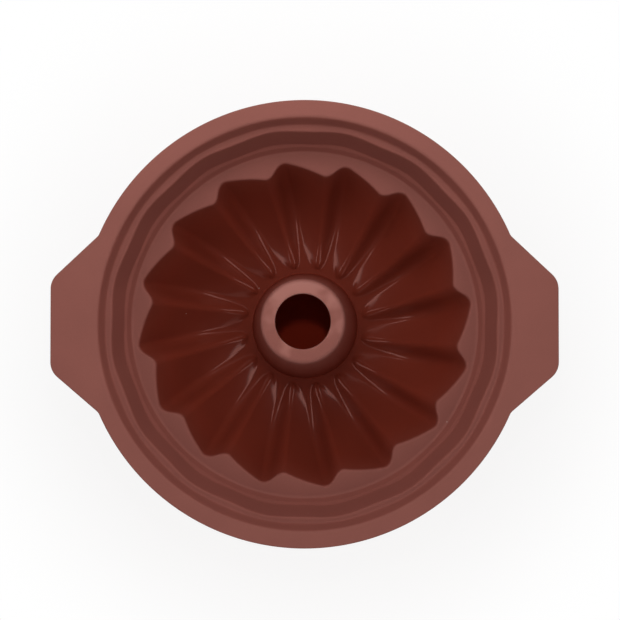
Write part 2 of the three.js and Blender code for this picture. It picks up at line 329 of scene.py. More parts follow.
@dataclass(frozen=True)
class FluteRule:
    """How the wall goes in and out around the pan: leaning flutes that turn as they go down."""

    first_ridge: float
    count: int = 16
    top: FluteForm = FluteForm(valley=0.667, rounding=0.095, turn=0.0)
    foot: FluteForm = FluteForm(valley=0.57, rounding=0.18, turn=-0.19)
    late_turn: float = 0.29
    late_power: int = 4
    corner_steps: int = 10
    long_steps: int = 14
    short_steps: int = 8

    @property
    def pitch(self) -> float:
        """The angle from one ridge to the next."""
        return 2 * math.pi / self.count

    def form(self, share: float) -> FluteForm:
        """The flutes' form at a share of the way down: they turn the most near the floor."""
        turn_share = share * (1 - self.late_turn) + share ** self.late_power * self.late_turn
        return self.top.towards(self.foot, share, turn_share)

    def ring_angles(self) -> list[float]:
        """Divides the way around the pan.

        Returns:
            Angles, closer together on each ridge and valley.
        """
        valley, half = self.top.valley, self.top.rounding
        stops = [
            (-half, half, self.corner_steps),
            (half, valley - half, self.long_steps),
            (valley - half, valley + half, self.corner_steps),
            (valley + half, 1 - half, self.short_steps),
        ]
        shares = [a + (b - a) * i / steps for a, b, steps in stops for i in range(steps)]
        return [self.first_ridge + (k + s) * self.pitch for k in range(self.count) for s in shares]


@dataclass(frozen=True)
class FluteLine:
    """How a ridge or a valley goes down from the shelf to the floor.

    It leaves the shelf at its draft, an angle off vertical, and ends at its foot, a little above the
    floor and at a slope to it. Its fullness is how far it follows the angle at either end.
    """

    draft: float
    foot_radius: float
    foot_lift: float
    foot_slope: float
    fullness: tuple[float, float]

    def curve(self, top: Vector, floor: float) -> list[Vector]:
        """Draws the line as a cubic curve.

        Args:
            top: where it leaves the shelf, as radius and height.
            floor: the floor's height.

        Returns:
            Its four control points, as radius and height.
        """
        foot = Vector((self.foot_radius, floor + self.foot_lift))
        down = Vector((-math.sin(self.draft), -math.cos(self.draft)))
        out = Vector((math.cos(self.foot_slope), math.sin(self.foot_slope)))
        top_reach = self.fullness[0] * (top.y - foot.y)
        foot_reach = self.fullness[1] * (top.x - foot.x)
        return [top, top + down * top_reach, foot + out * foot_reach, foot]


@dataclass(frozen=True)
class Corner:
    """A corner of a section: radius, height, rounding, and its share of the ring's shift."""

    radius: float
    height: float
    rounding: float = 0.0
    sway: float = 0.0

    @property
    def station(self) -> Vector:
        """The corner as a section point: radius, share of the shift, height."""
        return Vector((self.radius, self.sway, self.height))

    def towards(self, other: "Corner") -> Vector:
        """The straight way to another corner, as radius and height."""
        return Vector((other.radius - self.radius, other.height - self.height))


class Section:
    """Lines of a section, made from corners."""

    ROUND_STEPS = 6
    SHARED_SIDE = 0.45
    FREE_SIDE = 0.95
    LEAST_ROUND = 0.0004

    @staticmethod
    def outward(direction: Vector) -> Vector:
        """The side of a line that faces away from the cavity."""
        return Vector((-direction.y, direction.x))

    @classmethod
    def mitre(cls, into: Vector, out: Vector, wall: float) -> Vector:
        """The offset at a corner that keeps both of its sides one wall thick."""
        first, second = cls.outward(into), cls.outward(out)
        return (first + second) * (wall / (1 + first.dot(second)))

    @classmethod
    def bend(cls, start: Vector, corner: Vector, end: Vector) -> list[Vector]:
        """A round bend from one point to another, drawn towards a corner."""
        shares = [i / cls.ROUND_STEPS for i in range(cls.ROUND_STEPS + 1)]
        return [start.lerp(corner, t).lerp(corner.lerp(end, t), t) for t in shares]

    @classmethod
    def rounded(cls, corners: Sequence[Corner]) -> list[Vector]:
        """Draws a line through corners.

        Args:
            corners: the line's corners; its two ends stay sharp.

        Returns:
            Section points, with a bend at each rounded corner.
        """
        points = [corners[0].station]
        for before, here, after in zip(corners, corners[1:], corners[2:]):
            into, out = before.towards(here), here.towards(after)
            room = [
                side.length * (cls.SHARED_SIDE if end.rounding else cls.FREE_SIDE)
                for side, end in ((into, before), (out, after))
            ]
            reach = min(here.rounding * math.tan(into.angle(out) / 2), *room)
            if reach == 0:
                points.append(here.station)
                continue
            start = here.station.lerp(before.station, reach / into.length)
            end = here.station.lerp(after.station, reach / out.length)
            points.extend(cls.bend(start, here.station, end))
        return [*points, corners[-1].station]

    @classmethod
    def behind(cls, corners: Sequence[Corner], wall: float) -> list[Corner]:
        """Moves a cavity-side line to the outer side.

        Args:
            corners: the cavity side's corners.
            wall: thickness of the silicone.

        Returns:
            The outer side's corners, in the same order.
        """
        moved = []
        for i, here in enumerate(corners):
            into = corners[max(i - 1, 0)].towards(corners[max(i, 1)]).normalized()
            last = len(corners) - 1
            out = corners[min(i, last - 1)].towards(corners[min(i + 1, last)]).normalized()
            shift = cls.mitre(into, out, wall)
            turns_out = cls.outward(into).cross(cls.outward(out)) > 0
            rounding = max(here.rounding - wall, cls.LEAST_ROUND) if turns_out else here.rounding + wall
            moved.append(Corner(
                here.radius + shift.x, here.height + shift.y, rounding if here.rounding else 0.0, here.sway,
            ))
        return moved

    @staticmethod
    def filled(points: Sequence[Vector], spacing: float) -> list[Vector]:
        """Adds points to a line.

        Args:
            points: the line's section points.
            spacing: the furthest that two points may lie apart.

        Returns:
            The line with the added points.
        """
        line = []
        for here, there in zip(points, points[1:]):
            steps = max(1, math.ceil((there - here).xz.length / spacing))
            line.extend(here.lerp(there, i / steps) for i in range(steps))
        return [*line, points[-1]]


class ShadeAndFinish(NamedTuple):
    """Painted shade, roughness and gloss: depth is how far the colour is painted from the lit colour towards
    the shaded one.
    """

    depth: float
    roughness: float
    gloss: float

    def towards(self, other: "ShadeAndFinish", share: float) -> "ShadeAndFinish":
        """The painted shade and finish at a share of the way to another one."""
        part = min(max(share, 0.0), 1.0)
        return ShadeAndFinish(*(a + (b - a) * part for a, b in zip(self, other)))


class Zone(Enum):
    """The painted shade and finish of each zone: level open parts and the lip are painted pale, as if lit,
    and walls, flutes and the bore deeper, as if shaded.
    """

    MATT = ShadeAndFinish(0.08, 0.6, 0.0)
    LEDGE = ShadeAndFinish(0.22, 0.6, 0.0)
    SHELF = ShadeAndFinish(0.15, 0.6, 0.0)
    WALL = ShadeAndFinish(0.38, 0.55, 0.0)
    LIP = ShadeAndFinish(0.07, 0.45, 0.1)
    TUBE = ShadeAndFinish(0.45, 0.5, 0.05)
    FLOOR = ShadeAndFinish(1.0, 0.5, 0.05)
    BORE = ShadeAndFinish(1.0, 0.5, 0.0)
    # Painted light: the flutes' top edge is painted paler than below, as if lit.
    BROW = ShadeAndFinish(0.9, 0.5, 0.3)
    SATIN = ShadeAndFinish(1.0, 0.5, 0.45)


@dataclass(frozen=True)
class Station:
    """A section point on a ridge and in a valley, the flutes' form, the painted shade and finish, and the
    lowest height.
    """

    ridge: Vector
    valley: Vector
    flute: FluteForm
    shade_and_finish: ShadeAndFinish
    lowest: float = BELOW_ALL


class SweptSkin:
    """The Geometry Nodes tree that sweeps a closed section around the pan."""

    MERGE_DISTANCE = 1e-6
    INPUTS = {
        "Ring": "NodeSocketObject",
        "Material": "NodeSocketMaterial",
        "Flutes": "NodeSocketFloat",
        "First ridge": "NodeSocketFloat",
        "Ring valley": "NodeSocketFloat",
        "Rim radius": "NodeSocketFloat",
        "Wave depth": "NodeSocketFloat",
        "Wave crest": "NodeSocketFloat",
        "Floor blend": "NodeSocketFloat",
    }

    def __init__(self) -> None:
        """Builds the tree."""
        self.tree = bpy.data.node_groups.new("swept_skin", "GeometryNodeTree")
        face = self.tree.interface
        face.new_socket("Geometry", in_out="INPUT", socket_type="NodeSocketGeometry")
        face.new_socket("Geometry", in_out="OUTPUT", socket_type="NodeSocketGeometry")
        self.identifiers = {
            name: face.new_socket(name, in_out="INPUT", socket_type=kind).identifier
            for name, kind in self.INPUTS.items()
        }
        self._build(Graph(self.tree))

    @staticmethod
    def _sawtooth(share: Sock, valley: Sock, window: Sock) -> Sock:
        """The wall's place around the pan: a leaning sawtooth with its corners averaged round.

        Args:
            share: how far around, in pitches from the first ridge.
            valley: share of the pitch at which the valley lies.
            window: share of the pitch, to either side, that a corner is averaged over.

        Returns:
            0 on a ridge, 1 in a valley.
        """
        lean = (valley - 2 * window) / (1 - 4 * window)

        def area_to(end: Sock) -> Sock:
            """Measures the sharp sawtooth.

            Args:
                end: where to stop, in pitches.

            Returns:
                The area under it from 0 up to the end.
            """
            whole = end.floor()
            part = end - whole
            rise = part * part / (2 * lean)
            fall = 0.5 - (1 - part) * (1 - part) / (2 * (1 - lean))
            return whole / 2 + fall + (part < lean) * (rise - fall)

        middle = share + window * (2 * lean - 1)
        mean = (area_to(middle + window) - area_to(middle - window)) / (2 * window)
        return (mean - window) / (1 - 2 * window)

    @staticmethod
    def _moved(share: Sock, ring_valley: Sock, valley: Sock) -> Sock:
        """Moves ring points along so that the ring's valleys come to lie in the flutes' valleys.

        Args:
            share: a ring point's place, in pitches from the first ridge.
            ring_valley: share of the pitch at which the ring has its valley points.
            valley: share of the pitch at which the valley lies.

        Returns:
            The new place, in pitches from the first ridge.
        """
        whole = share.floor()
        part = share - whole
        long_face = part * valley / ring_valley
        short_face = 1 - (1 - part) * (1 - valley) / (1 - ring_valley)
        return whole + short_face + (part < ring_valley) * (long_face - short_face)

    def _build(self, graph: Graph) -> None:
        """Adds the tree's nodes.

        Args:
            graph: the empty tree.
        """
        given = graph.node("NodeGroupInput")
        section = given["Geometry"]
        ring = graph.node(
            "GeometryNodeObjectInfo", {"transform_space": "ORIGINAL"}, {"Object": given["Ring"]},
        )["Geometry"]

        def count(geometry: Sock) -> Sock:
            """The number of points of a mesh."""
            size = graph.node("GeometryNodeAttributeDomainSize", None, {"Geometry": geometry})
            return size["Point Count"]

        def sample(geometry: Sock, value: Sock, index: Sock, kind: str = "FLOAT_VECTOR") -> Sock:
            """A value of one point of a mesh."""
            inputs = {"Geometry": geometry, "Value": value, "Index": index}
            return graph.node("GeometryNodeSampleIndex", {"data_type": kind}, inputs)["Value"]

        def named(name: str, kind: str = "FLOAT_VECTOR") -> Sock:
            """An attribute of the section."""
            read = graph.node("GeometryNodeInputNamedAttribute", {"data_type": kind}, {"Name": name})
            return read["Attribute"]

        around, along = count(ring), count(section)
        grid = graph.node("GeometryNodeMeshGrid", None, {"Vertices X": around + 1, "Vertices Y": along + 1})
        index = graph.node("GeometryNodeInputIndex")["Index"]
        row = (index / (along + 1)).floor()
        column = (index - row * (along + 1)) % along
        position = graph.node("GeometryNodeInputPosition")["Position"]
        on_ring = graph.parts(sample(ring, position, row % around))
        reach = (on_ring["X"] * on_ring["X"] + on_ring["Y"] * on_ring["Y"]).sqrt()
        angle = on_ring["Y"].atan2(on_ring["X"])
        form = graph.parts(sample(section, named("flute"), column))
        valley, window, turn = form["X"], form["Y"], form["Z"]
        flutes = given["Flutes"] / (2 * math.pi)
        share = self._moved((angle - given["First ridge"]) * flutes, given["Ring valley"], valley)
        turned = (share + turn) / flutes + given["First ridge"]
        on_ridge = sample(section, position, column)
        in_valley = sample(section, named("valley"), column)
        at = graph.parts(graph.mix(self._sawtooth(share, valley, window), on_ridge, in_valley, "VECTOR"))
        wave = given["Wave depth"] * ((angle - given["Wave crest"]) * given["Flutes"]).cos()
        radius = at["X"] + at["Y"] * (reach - given["Rim radius"] + wave)
        lowest = sample(section, named("lowest", "FLOAT"), column, "FLOAT")
        target = graph.node("ShaderNodeCombineXYZ", None, {
            "X": radius * turned.cos(),
            "Y": radius * turned.sin(),
            "Z": at["Z"].soft_max(lowest, given["Floor blend"]),
        })["Vector"]
        zone = sample(section, named("zone"), column)
        skin = graph.node(
            "GeometryNodeStoreNamedAttribute",
            {"data_type": "FLOAT_VECTOR"},
            {"Geometry": grid["Mesh"], "Name": "zone", "Value": zone},
        )["Geometry"]
        for step, inputs in (
            ("SetPosition", {"Position": target}),
            ("MergeByDistance", {"Distance": self.MERGE_DISTANCE}),
            ("SetShadeSmooth", {}),
            ("RealizeInstances", {}),
            ("SetMaterial", {"Material": given["Material"]}),
        ):
            skin = graph.node(f"GeometryNode{step}", None, {"Geometry": skin, **inputs})["Geometry"]
        graph.node("NodeGroupOutput", None, {"Geometry": skin})

    def sweep(
        self,
        name: str,
        stations: Sequence[Station],
        ring: Sequence[Point],
        values: Mapping[str, Any],
    ) -> bpy.types.Mesh:
        """Sweeps a section into a plain mesh.

        Args:
            name: name of the mesh.
            stations: the closed section's points in order.
            ring: points around the pan, whose distance from the axis sets the ring's shift.
            values: the tree's other inputs, by name.

        Returns:
            The swept mesh.
        """
        section = bpy.data.meshes.new(f"{name}_section")
        section.from_pydata([s.ridge for s in stations], [], [])
        attributes = {
            "valley": [s.valley for s in stations],
            "flute": [s.flute.numbers for s in stations],
            "zone": [s.shade_and_finish for s in stations],
        }
        for key, vectors in attributes.items():
            made = section.attributes.new(key, "FLOAT_VECTOR", "POINT")
            made.data.foreach_set("vector", [c for vector in vectors for c in vector])
        lowest = section.attributes.new("lowest", "FLOAT", "POINT")
        lowest.data.foreach_set("value", [s.lowest for s in stations])
        circle = bpy.data.meshes.new(f"{name}_ring")
        circle.from_pydata(list(ring), [], [])
        helper = bpy.data.objects.new(f"{name}_ring", circle)
        source = bpy.data.objects.new(f"{name}_section", section)
        for each in (helper, source):
            bpy.context.scene.collection.objects.link(each)
        modifier = source.modifiers.new("sweep", "NODES")
        modifier.node_group = self.tree
        for key, value in {**values, "Ring": helper}.items():
            modifier[self.identifiers[key]] = value
        depsgraph = bpy.context.evaluated_depsgraph_get()
        mesh = bpy.data.meshes.new_from_object(source.evaluated_get(depsgraph), depsgraph=depsgraph)
        mesh.name = name
        source.modifiers.remove(modifier)
        for each in (source, helper):
            data = each.data
            bpy.data.objects.remove(each)
            bpy.data.meshes.remove(data)
        return mesh


@dataclass(frozen=True)
class SiliconeWithPaintedShade:
    """Solid-coloured silicone: its lit and shaded colours with painted shade between them, mottling and
    grain, dust, and smears with a painted highlight on the lip.

    The highlight's lean is how much more smeared and paler the skin is painted for each metre that way from
    the middle of the lip, so that the lip's back left looks lit.
    """

    NOISE_MIDDLE = 0.5

    name: str
    smear_and_highlight_centre: Point
    # Lit and shaded colours of the one silicone, between which its shade is painted.
    lit_colour: Colour = (0.24, 0.092, 0.076)
    shaded_colour: Colour = (0.158, 0.0245, 0.013)
    dust_colour: Colour = (0.4, 0.3, 0.27)
    roughness_drift: float = 0.1
    mottle_scale: float = 38.0
    mottle_detail: float = 4.0
    mottle_depth: float = 0.16
    fine_detail: float = 2.0
    ripple_scale: float = 95.0
    ripple_height: float = 0.00016
    grain_scale: float = 1900.0
    grain_height: float = 0.00002
    polish: float = 0.8
    ior: float = 1.45
    specular_level: float = 0.12
    coat_roughness: float = 0.12
    dust_scale: float = 50.0
    dust_size: float = 0.016
    # Smears that also paint a highlight on the lip's back left, as if lit there.
    smear_and_highlight_colour: Colour = (0.35, 0.152, 0.128)
    smear_and_highlight_scale: float = 62.0
    smear_and_highlight_edges: tuple[float, float] = (0.43, 0.66)
    smear_and_highlight_reach: tuple[float, float] = (0.021, 0.0235)
    highlight_lean: Point = (-2.2, 6.5, 0.0)
    smear_and_highlight_strength: float = 0.9

    def material(self) -> bpy.types.Material:
        """Makes the material.

        Returns:
            A material on Object coordinates and the skin's own zone attribute.
        """
        made = bpy.data.materials.new(self.name)
        made.use_nodes = True
        graph = Graph(made.node_tree)
        place = graph.node("ShaderNodeTexCoord")["Object"]
        zone = graph.parts(graph.node("ShaderNodeAttribute", {"attribute_name": "zone"})["Vector"])
        depth, roughness, gloss = zone["X"], zone["Y"], zone["Z"]

        def noise(scale: float, detail: float) -> Sock:
            """Soft noise around its middle value."""
            inputs = {"Vector": place, "Scale": scale, "Detail": detail}
            return graph.node("ShaderNodeTexNoise", None, inputs)["Fac"]

        mottle = noise(self.mottle_scale, self.mottle_detail)
        ripple = noise(self.ripple_scale, self.fine_detail)
        grain = noise(self.grain_scale, self.fine_detail)
        cells = graph.node("ShaderNodeTexVoronoi", None, {"Vector": place, "Scale": self.dust_scale})
        dust = cells["Distance"] < self.dust_size
        # Smears with a painted highlight: the patches lean towards the lip's back left and paint it paler, as
        # if lit there.
        offset = graph.vector("SUBTRACT", {0: place, 1: self.smear_and_highlight_centre})["Vector"]
        away = graph.vector("LENGTH", {0: offset})["Value"]
        side = graph.vector("DOT_PRODUCT", {0: offset, 1: self.highlight_lean})["Value"]
        near = 1 - away.smooth_between(*self.smear_and_highlight_reach)
        patches = (noise(self.smear_and_highlight_scale, self.fine_detail) + side).smooth_between(*self.smear_and_highlight_edges)
        smear_and_highlight = patches * near * self.smear_and_highlight_strength
        # Painted shade: the zone's depth mixes the lit colour towards the shaded one, so level parts look lit
        # and walls and hollows look shaded.
        plain = graph.mix(depth, opaque(self.lit_colour), opaque(self.shaded_colour))
        spots = mottle - self.NOISE_MIDDLE
        shade = 1 + (spots + grain - self.NOISE_MIDDLE) * self.mottle_depth
        shaded = graph.vector("SCALE", {"Vector": plain, "Scale": shade})["Vector"]
        smeared_and_highlighted = graph.mix(smear_and_highlight, shaded, opaque(self.smear_and_highlight_colour))
        relief = ripple * self.ripple_height + grain * self.grain_height * (1 - depth * self.polish)
        bump = graph.node("ShaderNodeBump", None, {"Strength": 1.0, "Distance": 1.0, "Height": relief})
        shader = graph.node("ShaderNodeBsdfPrincipled", None, {
            "Base Color": graph.mix(dust, smeared_and_highlighted, opaque(self.dust_colour)),
            "Roughness": roughness + (spots + dust - smear_and_highlight) * self.roughness_drift,
            "Normal": bump["Normal"],
            "IOR": self.ior,
            "Specular IOR Level": self.specular_level,
            "Coat Weight": gloss,
            "Coat Roughness": self.coat_roughness,
        })
        graph.node("ShaderNodeOutputMaterial", None, {"Surface": shader["BSDF"]})
        return made


class Skin:
    """What the pan's pieces of skin have in common."""

    SHARP_ANGLE = math.radians(50)

    @classmethod
    def piece(cls, mesh: bpy.types.Mesh) -> bpy.types.Object:
        """Puts a finished mesh in the scene.

        Args:
            mesh: the mesh, which becomes smooth but for its cut edges.

        Returns:
            The piece, named as its mesh.
        """
        mesh.shade_smooth()
        mesh.set_sharp_from_angle(angle=cls.SHARP_ANGLE)
        made = bpy.data.objects.new(mesh.name, mesh)
        bpy.context.scene.collection.objects.link(made)
        return made


class BowlPart(NamedTuple):
    """A piece of the bowl: its closed section, the nodes it stands for, its waves and its oval."""

    stations: list[Station]
    nodes: list[str]
    wave_depth: float = 0.0
    oval: float = 0.0


@dataclass
class Bowl(Skin):
    """Everything inside the rim: the stepped collar, the shelf, the flutes, the floor and the tube."""

    CURVE_DEGREE = 3

    rim_step: NodeSizes = sizes_of("rim_step")
    shelf: NodeSizes = sizes_of("flute_shelf")
    flute: NodeSizes = sizes_of("flute_01")
    floor_ring: NodeSizes = sizes_of("floor_ring")
    lip: NodeSizes = sizes_of("tube_lip")
    rim: NodeSizes = sizes_of("rim_flange")
    flat_inset: float = 0.002
    step_run: float = 0.0032
    step_depth: float = 0.008
    ledge_width: float = 0.0033
    collar_run: float = 0.005
    collar_depth: float = 0.018
    crease_width: float = 0.0018
    crease_drop: float = 0.0012
    skirt_run: float = 0.0024
    rim_edge_round: float = 0.0028
    edge_round: float = 0.003
    shelf_edge_round: float = 0.0022
    fillet: float = 0.0025
    crease_round: float = 0.002
    ledge_fillet: float = 0.003
    tube_fillet: float = 0.0016
    wave_depth: float = 0.0006
    ledge_sway: float = 0.35
    collar_foot_sway: float = 0.75
    crease_sway: float = 0.2
    wave_lag: float = math.radians(2.8)
    flute_oval: float = 0.0014
    valley: FluteLine = FluteLine(
        draft=math.radians(12), foot_radius=0.0435, foot_lift=0.0, foot_slope=math.radians(7.5),
        fullness=(0.6, 0.62),
    )
    ridge: FluteLine = FluteLine(
        draft=math.radians(14), foot_radius=0.0395, foot_lift=0.0026, foot_slope=math.radians(12),
        fullness=(0.54, 0.5),
    )
    toe_length: float = 0.0045
    toe_drop: float = 0.0022
    floor_blend: float = 0.0014
    tube_foot_radius: float = 0.0317
    tube_top_radius: float = 0.02355
    tube_lean: tuple[float, float] = (-0.001, 0.0012)
    bore_round: float = 0.0014
    lip_round: float = 0.003
    shelf_zone_depth: float = 0.0006
    edge_fade: float = 0.0022
    brow_depth: float = 0.02
    lip_fade: float = 0.0055
    spacing: float = 0.0028
    flute_steps: int = 48
    toe_steps: int = 12

    def __post_init__(self) -> None:
        """Works out the sizes that several methods share."""
        self.top: float = self.rim.high.z
        self.wall: float = self.top - self.rim.low.z
        self.shelf_height: float = self.shelf.high.z
        self.lip_height: float = self.lip.high.z
        top_edge = self.flute.at_top()
        self.ridge_radius: float = top_edge[0][0]
        self.tip_radius: float = top_edge[-1][0]
        first_ridge = min(a for r, a in top_edge if r - self.ridge_radius < NodeSizes.LEVEL)
        self.rule = FluteRule(first_ridge)
        self.floor_radius: float = (self.floor_ring.largest_radius() + self.tube_foot_radius) / 2

    def collar_corners(self) -> list[Corner]:
        """Draws the collar's cavity side.

        Returns:
            Its corners, from the rim plate to the shelf.
        """
        step_top = self.rim_step.largest_radius() - self.flat_inset
        step_foot = step_top - self.step_run
        ledge_inner = step_foot - self.ledge_width
        collar_foot = ledge_inner - self.collar_run
        crease_inner = collar_foot - self.crease_width
        skirt_foot = crease_inner - self.skirt_run
        ledge = self.top - self.step_depth
        crease = ledge - self.collar_depth
        return [
            Corner(step_top + self.flat_inset, self.top),
            Corner(step_top, self.top, self.rim_edge_round),
            Corner(step_foot, ledge, self.ledge_fillet, self.ledge_sway),
            Corner(ledge_inner, ledge, self.edge_round, 1.0),
            Corner(collar_foot, crease, self.crease_round, self.collar_foot_sway),
            Corner(crease_inner, crease - self.crease_drop, self.crease_round, self.crease_sway),
            Corner(skirt_foot, self.shelf_height, self.fillet),
        ]

    def tube_corners(self) -> list[Corner]:
        """Draws the floor ring and the tube.

        Returns:
            Their corners, up the tube, over the lip, down inside and back to the floor ring.
        """
        cavity = [
            Corner(self.floor_radius, self.wall),
            Corner(self.tube_foot_radius, self.wall, self.tube_fillet),
            Corner(self.tube_top_radius, self.lip_height, self.lip_round),
            Corner(self.lip.smallest_radius(), self.lip_height, self.bore_round),
        ]
        return [*cavity, *reversed(Section.behind(cavity, self.wall))]

    @staticmethod
    def on_curve(curve: Sequence[Vector], share: float) -> tuple[Vector, Vector]:
        """Follows a cubic curve.

        Args:
            curve: its four control points.
            share: how far along it, from 0 to 1.

        Returns:
            The point and the direction there.
        """
        first = [a.lerp(b, share) for a, b in zip(curve, curve[1:])]
        second = [a.lerp(b, share) for a, b in zip(first, first[1:])]
        return second[0].lerp(second[1], share), (second[1] - second[0]).normalized()

    def flute_line(self, curve: Sequence[Vector], behind: bool) -> list[Vector]:
        """Draws a ridge or valley line from the shelf to the floor ring.

        Args:
            curve: the line's control points.
            behind: True for the outer side, False for the cavity side.

        Returns:
            Section points, from the shelf to the blunt toe that goes down into the floor.
        """
        level = Vector((-1.0, 0.0))
        down = self.on_curve(curve, 0.0)[1]
        corner = curve[0].copy()
        reach = self.shelf_edge_round * math.tan(level.angle(down) / 2)
        if behind:
            corner += Section.mitre(level, down, self.wall)
            reach = Section.LEAST_ROUND
        steps = self.flute_steps - self.toe_steps
        start_speed = self.CURVE_DEGREE * (curve[1] - curve[0]).length
        first_share = (reach + (self.wall if behind else 0.0)) / start_speed
        points = []
        for i in range(steps + 1):
            point, direction = self.on_curve(curve, first_share + (1 - first_share) * i / steps)
            points.append(point + Section.outward(direction) * self.wall if behind else point)
        foot = points[-1]
        knee = foot + self.on_curve(curve, 1.0)[1] * self.toe_length
        end = Vector((self.floor_radius, (0.0 if behind else self.wall) - self.toe_drop))
        shares = [(i + 1) / self.toe_steps for i in range(self.toe_steps)]
        points.extend(foot.lerp(knee, t).lerp(knee.lerp(end, t), t) for t in shares)
        start = Vector((corner.x + reach, corner.y))
        line = [*Section.bend(start, corner, points[0])[:-1], *points]
        return [Vector((p.x, self.height_share(p.y), p.y)) for p in line]

    def height_share(self, height: float) -> float:
        """0 at the floor and below, 1 at the shelf: how much of the flutes' oval shows at a height."""
        return max(height - self.wall, 0.0) / (self.shelf_height - self.wall)

    def ring(self, oval: float) -> list[Point]:
        """Points around the rim, for sweeping, moved out along X and in along Y by an oval's depth."""
        reaches = [(self.rim.high.y + oval * math.cos(2 * a), a) for a in self.rule.ring_angles()]
        return [(reach * math.cos(a), reach * math.sin(a), 0.0) for reach, a in reaches]

    def collar_lines(self) -> tuple[list[Vector], list[Vector]]:
        """Draws the collar, from the rim plate to the shelf.

        Returns:
            Section points of its cavity side, and of its outer side.
        """
        corners = [*self.collar_corners(), Corner(self.tip_radius, self.shelf_height)]
        sides = (corners, Section.behind(corners, self.wall))
        cavity, outer = (Section.filled(Section.rounded(side)[:-1], self.spacing) for side in sides)
        return cavity, outer

    def collar_stations(self) -> list[Station]:
        """Draws the collar's closed section.

        Returns:
            Stations down the cavity side and back up the outer side.
        """
        cavity, outer = self.collar_lines()
        top = self.rule.top
        return [
            *(Station(p, p, top, self.collar_shade_zone(p).value) for p in cavity),
            *(Station(p, p, top, Zone.MATT.value) for p in reversed(outer)),
        ]

    def flute_stations(self) -> list[Station]:
        """Draws the flutes' closed section.

        Returns:
            Stations from the collar's foot to the floor ring and back.
        """
        (*_, above), (*_, below) = self.collar_lines()
        top = self.rule.top
        return [
            Station(above, above, top, Zone.SHELF.value),
            *self.fluted(behind=False),
            *reversed(self.fluted(behind=True)),
            Station(below, below, top, Zone.MATT.value),
        ]

    def tube_stations(self) -> list[Station]:
        """The tube's closed section, from the floor ring up, over the lip and back down inside."""
        line = Section.filled(Section.rounded(self.tube_corners()), self.spacing)
        return [Station(p, p, self.rule.foot, self.tube_shade_and_finish(p)) for p in line]

    def fluted(self, behind: bool) -> list[Station]:
        """Draws the fluted part of the section, from the shelf to the floor ring.

        Args:
            behind: True for the outer side, False for the cavity side.

        Returns:
            Stations whose flutes turn and grow more even on the way down.
        """
        ridge, valley = (
            self.flute_line(line.curve(Vector((radius, self.shelf_height)), self.wall), behind)
            for line, radius in ((self.ridge, self.ridge_radius), (self.valley, self.tip_radius))
        )
        lowest = 0.0 if behind else self.wall
        stations = []
        for on_ridge, in_valley in zip(ridge, valley):
            gone = (self.ridge_radius - on_ridge.x) / (self.ridge_radius - self.floor_radius)
            form = self.rule.form(min(max(gone, 0.0), 1.0))
            shade_and_finish = Zone.MATT.value if behind else self.flute_shade_and_finish(self.shelf_height - on_ridge.z)
            stations.append(Station(on_ridge, in_valley, form, shade_and_finish, lowest))
        return stations

    def flute_shade_and_finish(self, depth: float) -> ShadeAndFinish:
        """The painted shade and finish of a flute's cavity side at a depth below the shelf: paler at the top
        edge, as if lit, and painted deeper on the way down, as if shaded.
        """
        # Painted light: a paler band at the top edge, then the painted shade deepens to the flutes' full
        # shade.
        edge = Zone.SHELF.value.towards(Zone.BROW.value, depth / self.edge_fade)
        return edge.towards(Zone.SATIN.value, (depth - self.edge_fade) / self.brow_depth)

    def collar_shade_zone(self, point: Vector) -> Zone:
        """Chooses the collar's painted shade and finish: level parts are painted the palest, as if lit, and
        walls darker, as if shaded.

        Args:
            point: a section point of the cavity side.

        Returns:
            The painted shade and finish there.
        """
        ledge = self.top - self.step_depth
        if point.z > self.top - self.shelf_zone_depth:
            return Zone.MATT
        if abs(point.z - ledge) < self.shelf_zone_depth:
            return Zone.LEDGE
        if abs(point.z - self.shelf_height) < self.shelf_zone_depth:
            return Zone.SHELF
        return Zone.WALL

    def tube_shade_and_finish(self, point: Vector) -> ShadeAndFinish:
        """Chooses the painted shade and finish of the floor ring, the tube and the lip: the tube is painted
        paler upwards, as if lit from above.

        Args:
            point: a section point of theirs.

        Returns:
            The painted shade and finish there.
        """
        below_lip = self.lip_height - self.lip_round - point.z
        climbed = (point.z - self.wall) / (self.lip_height - self.wall)
        outside = self.tube_foot_radius + (self.tube_top_radius - self.tube_foot_radius) * climbed
        # Painted shade: the bore is painted dark, the tube paler as it climbs and the lip palest, as if lit
        # from above.
        if below_lip > 0 and point.x < outside - self.wall / 2:
            return Zone.BORE.value
        wall = Zone.FLOOR.value.towards(Zone.TUBE.value, climbed)
        return Zone.LIP.value.towards(wall, below_lip / self.lip_fade)

    @property
    def lip_centre(self) -> Point:
        """The middle of the tube's lip."""
        return (*self.tube_lean, self.lip_height)

    def lean(self, mesh: bpy.types.Mesh) -> None:
        """Leans the soft tube a little: its foot stays and its top stands off the axis.

        Args:
            mesh: the tube, which is changed.
        """
        height = self.lip_height - self.wall
        for vertex in mesh.vertices:
            share = max(vertex.co.z - self.wall, 0.0) / height
            vertex.co.x += self.tube_lean[0] * share
            vertex.co.y += self.tube_lean[1] * share

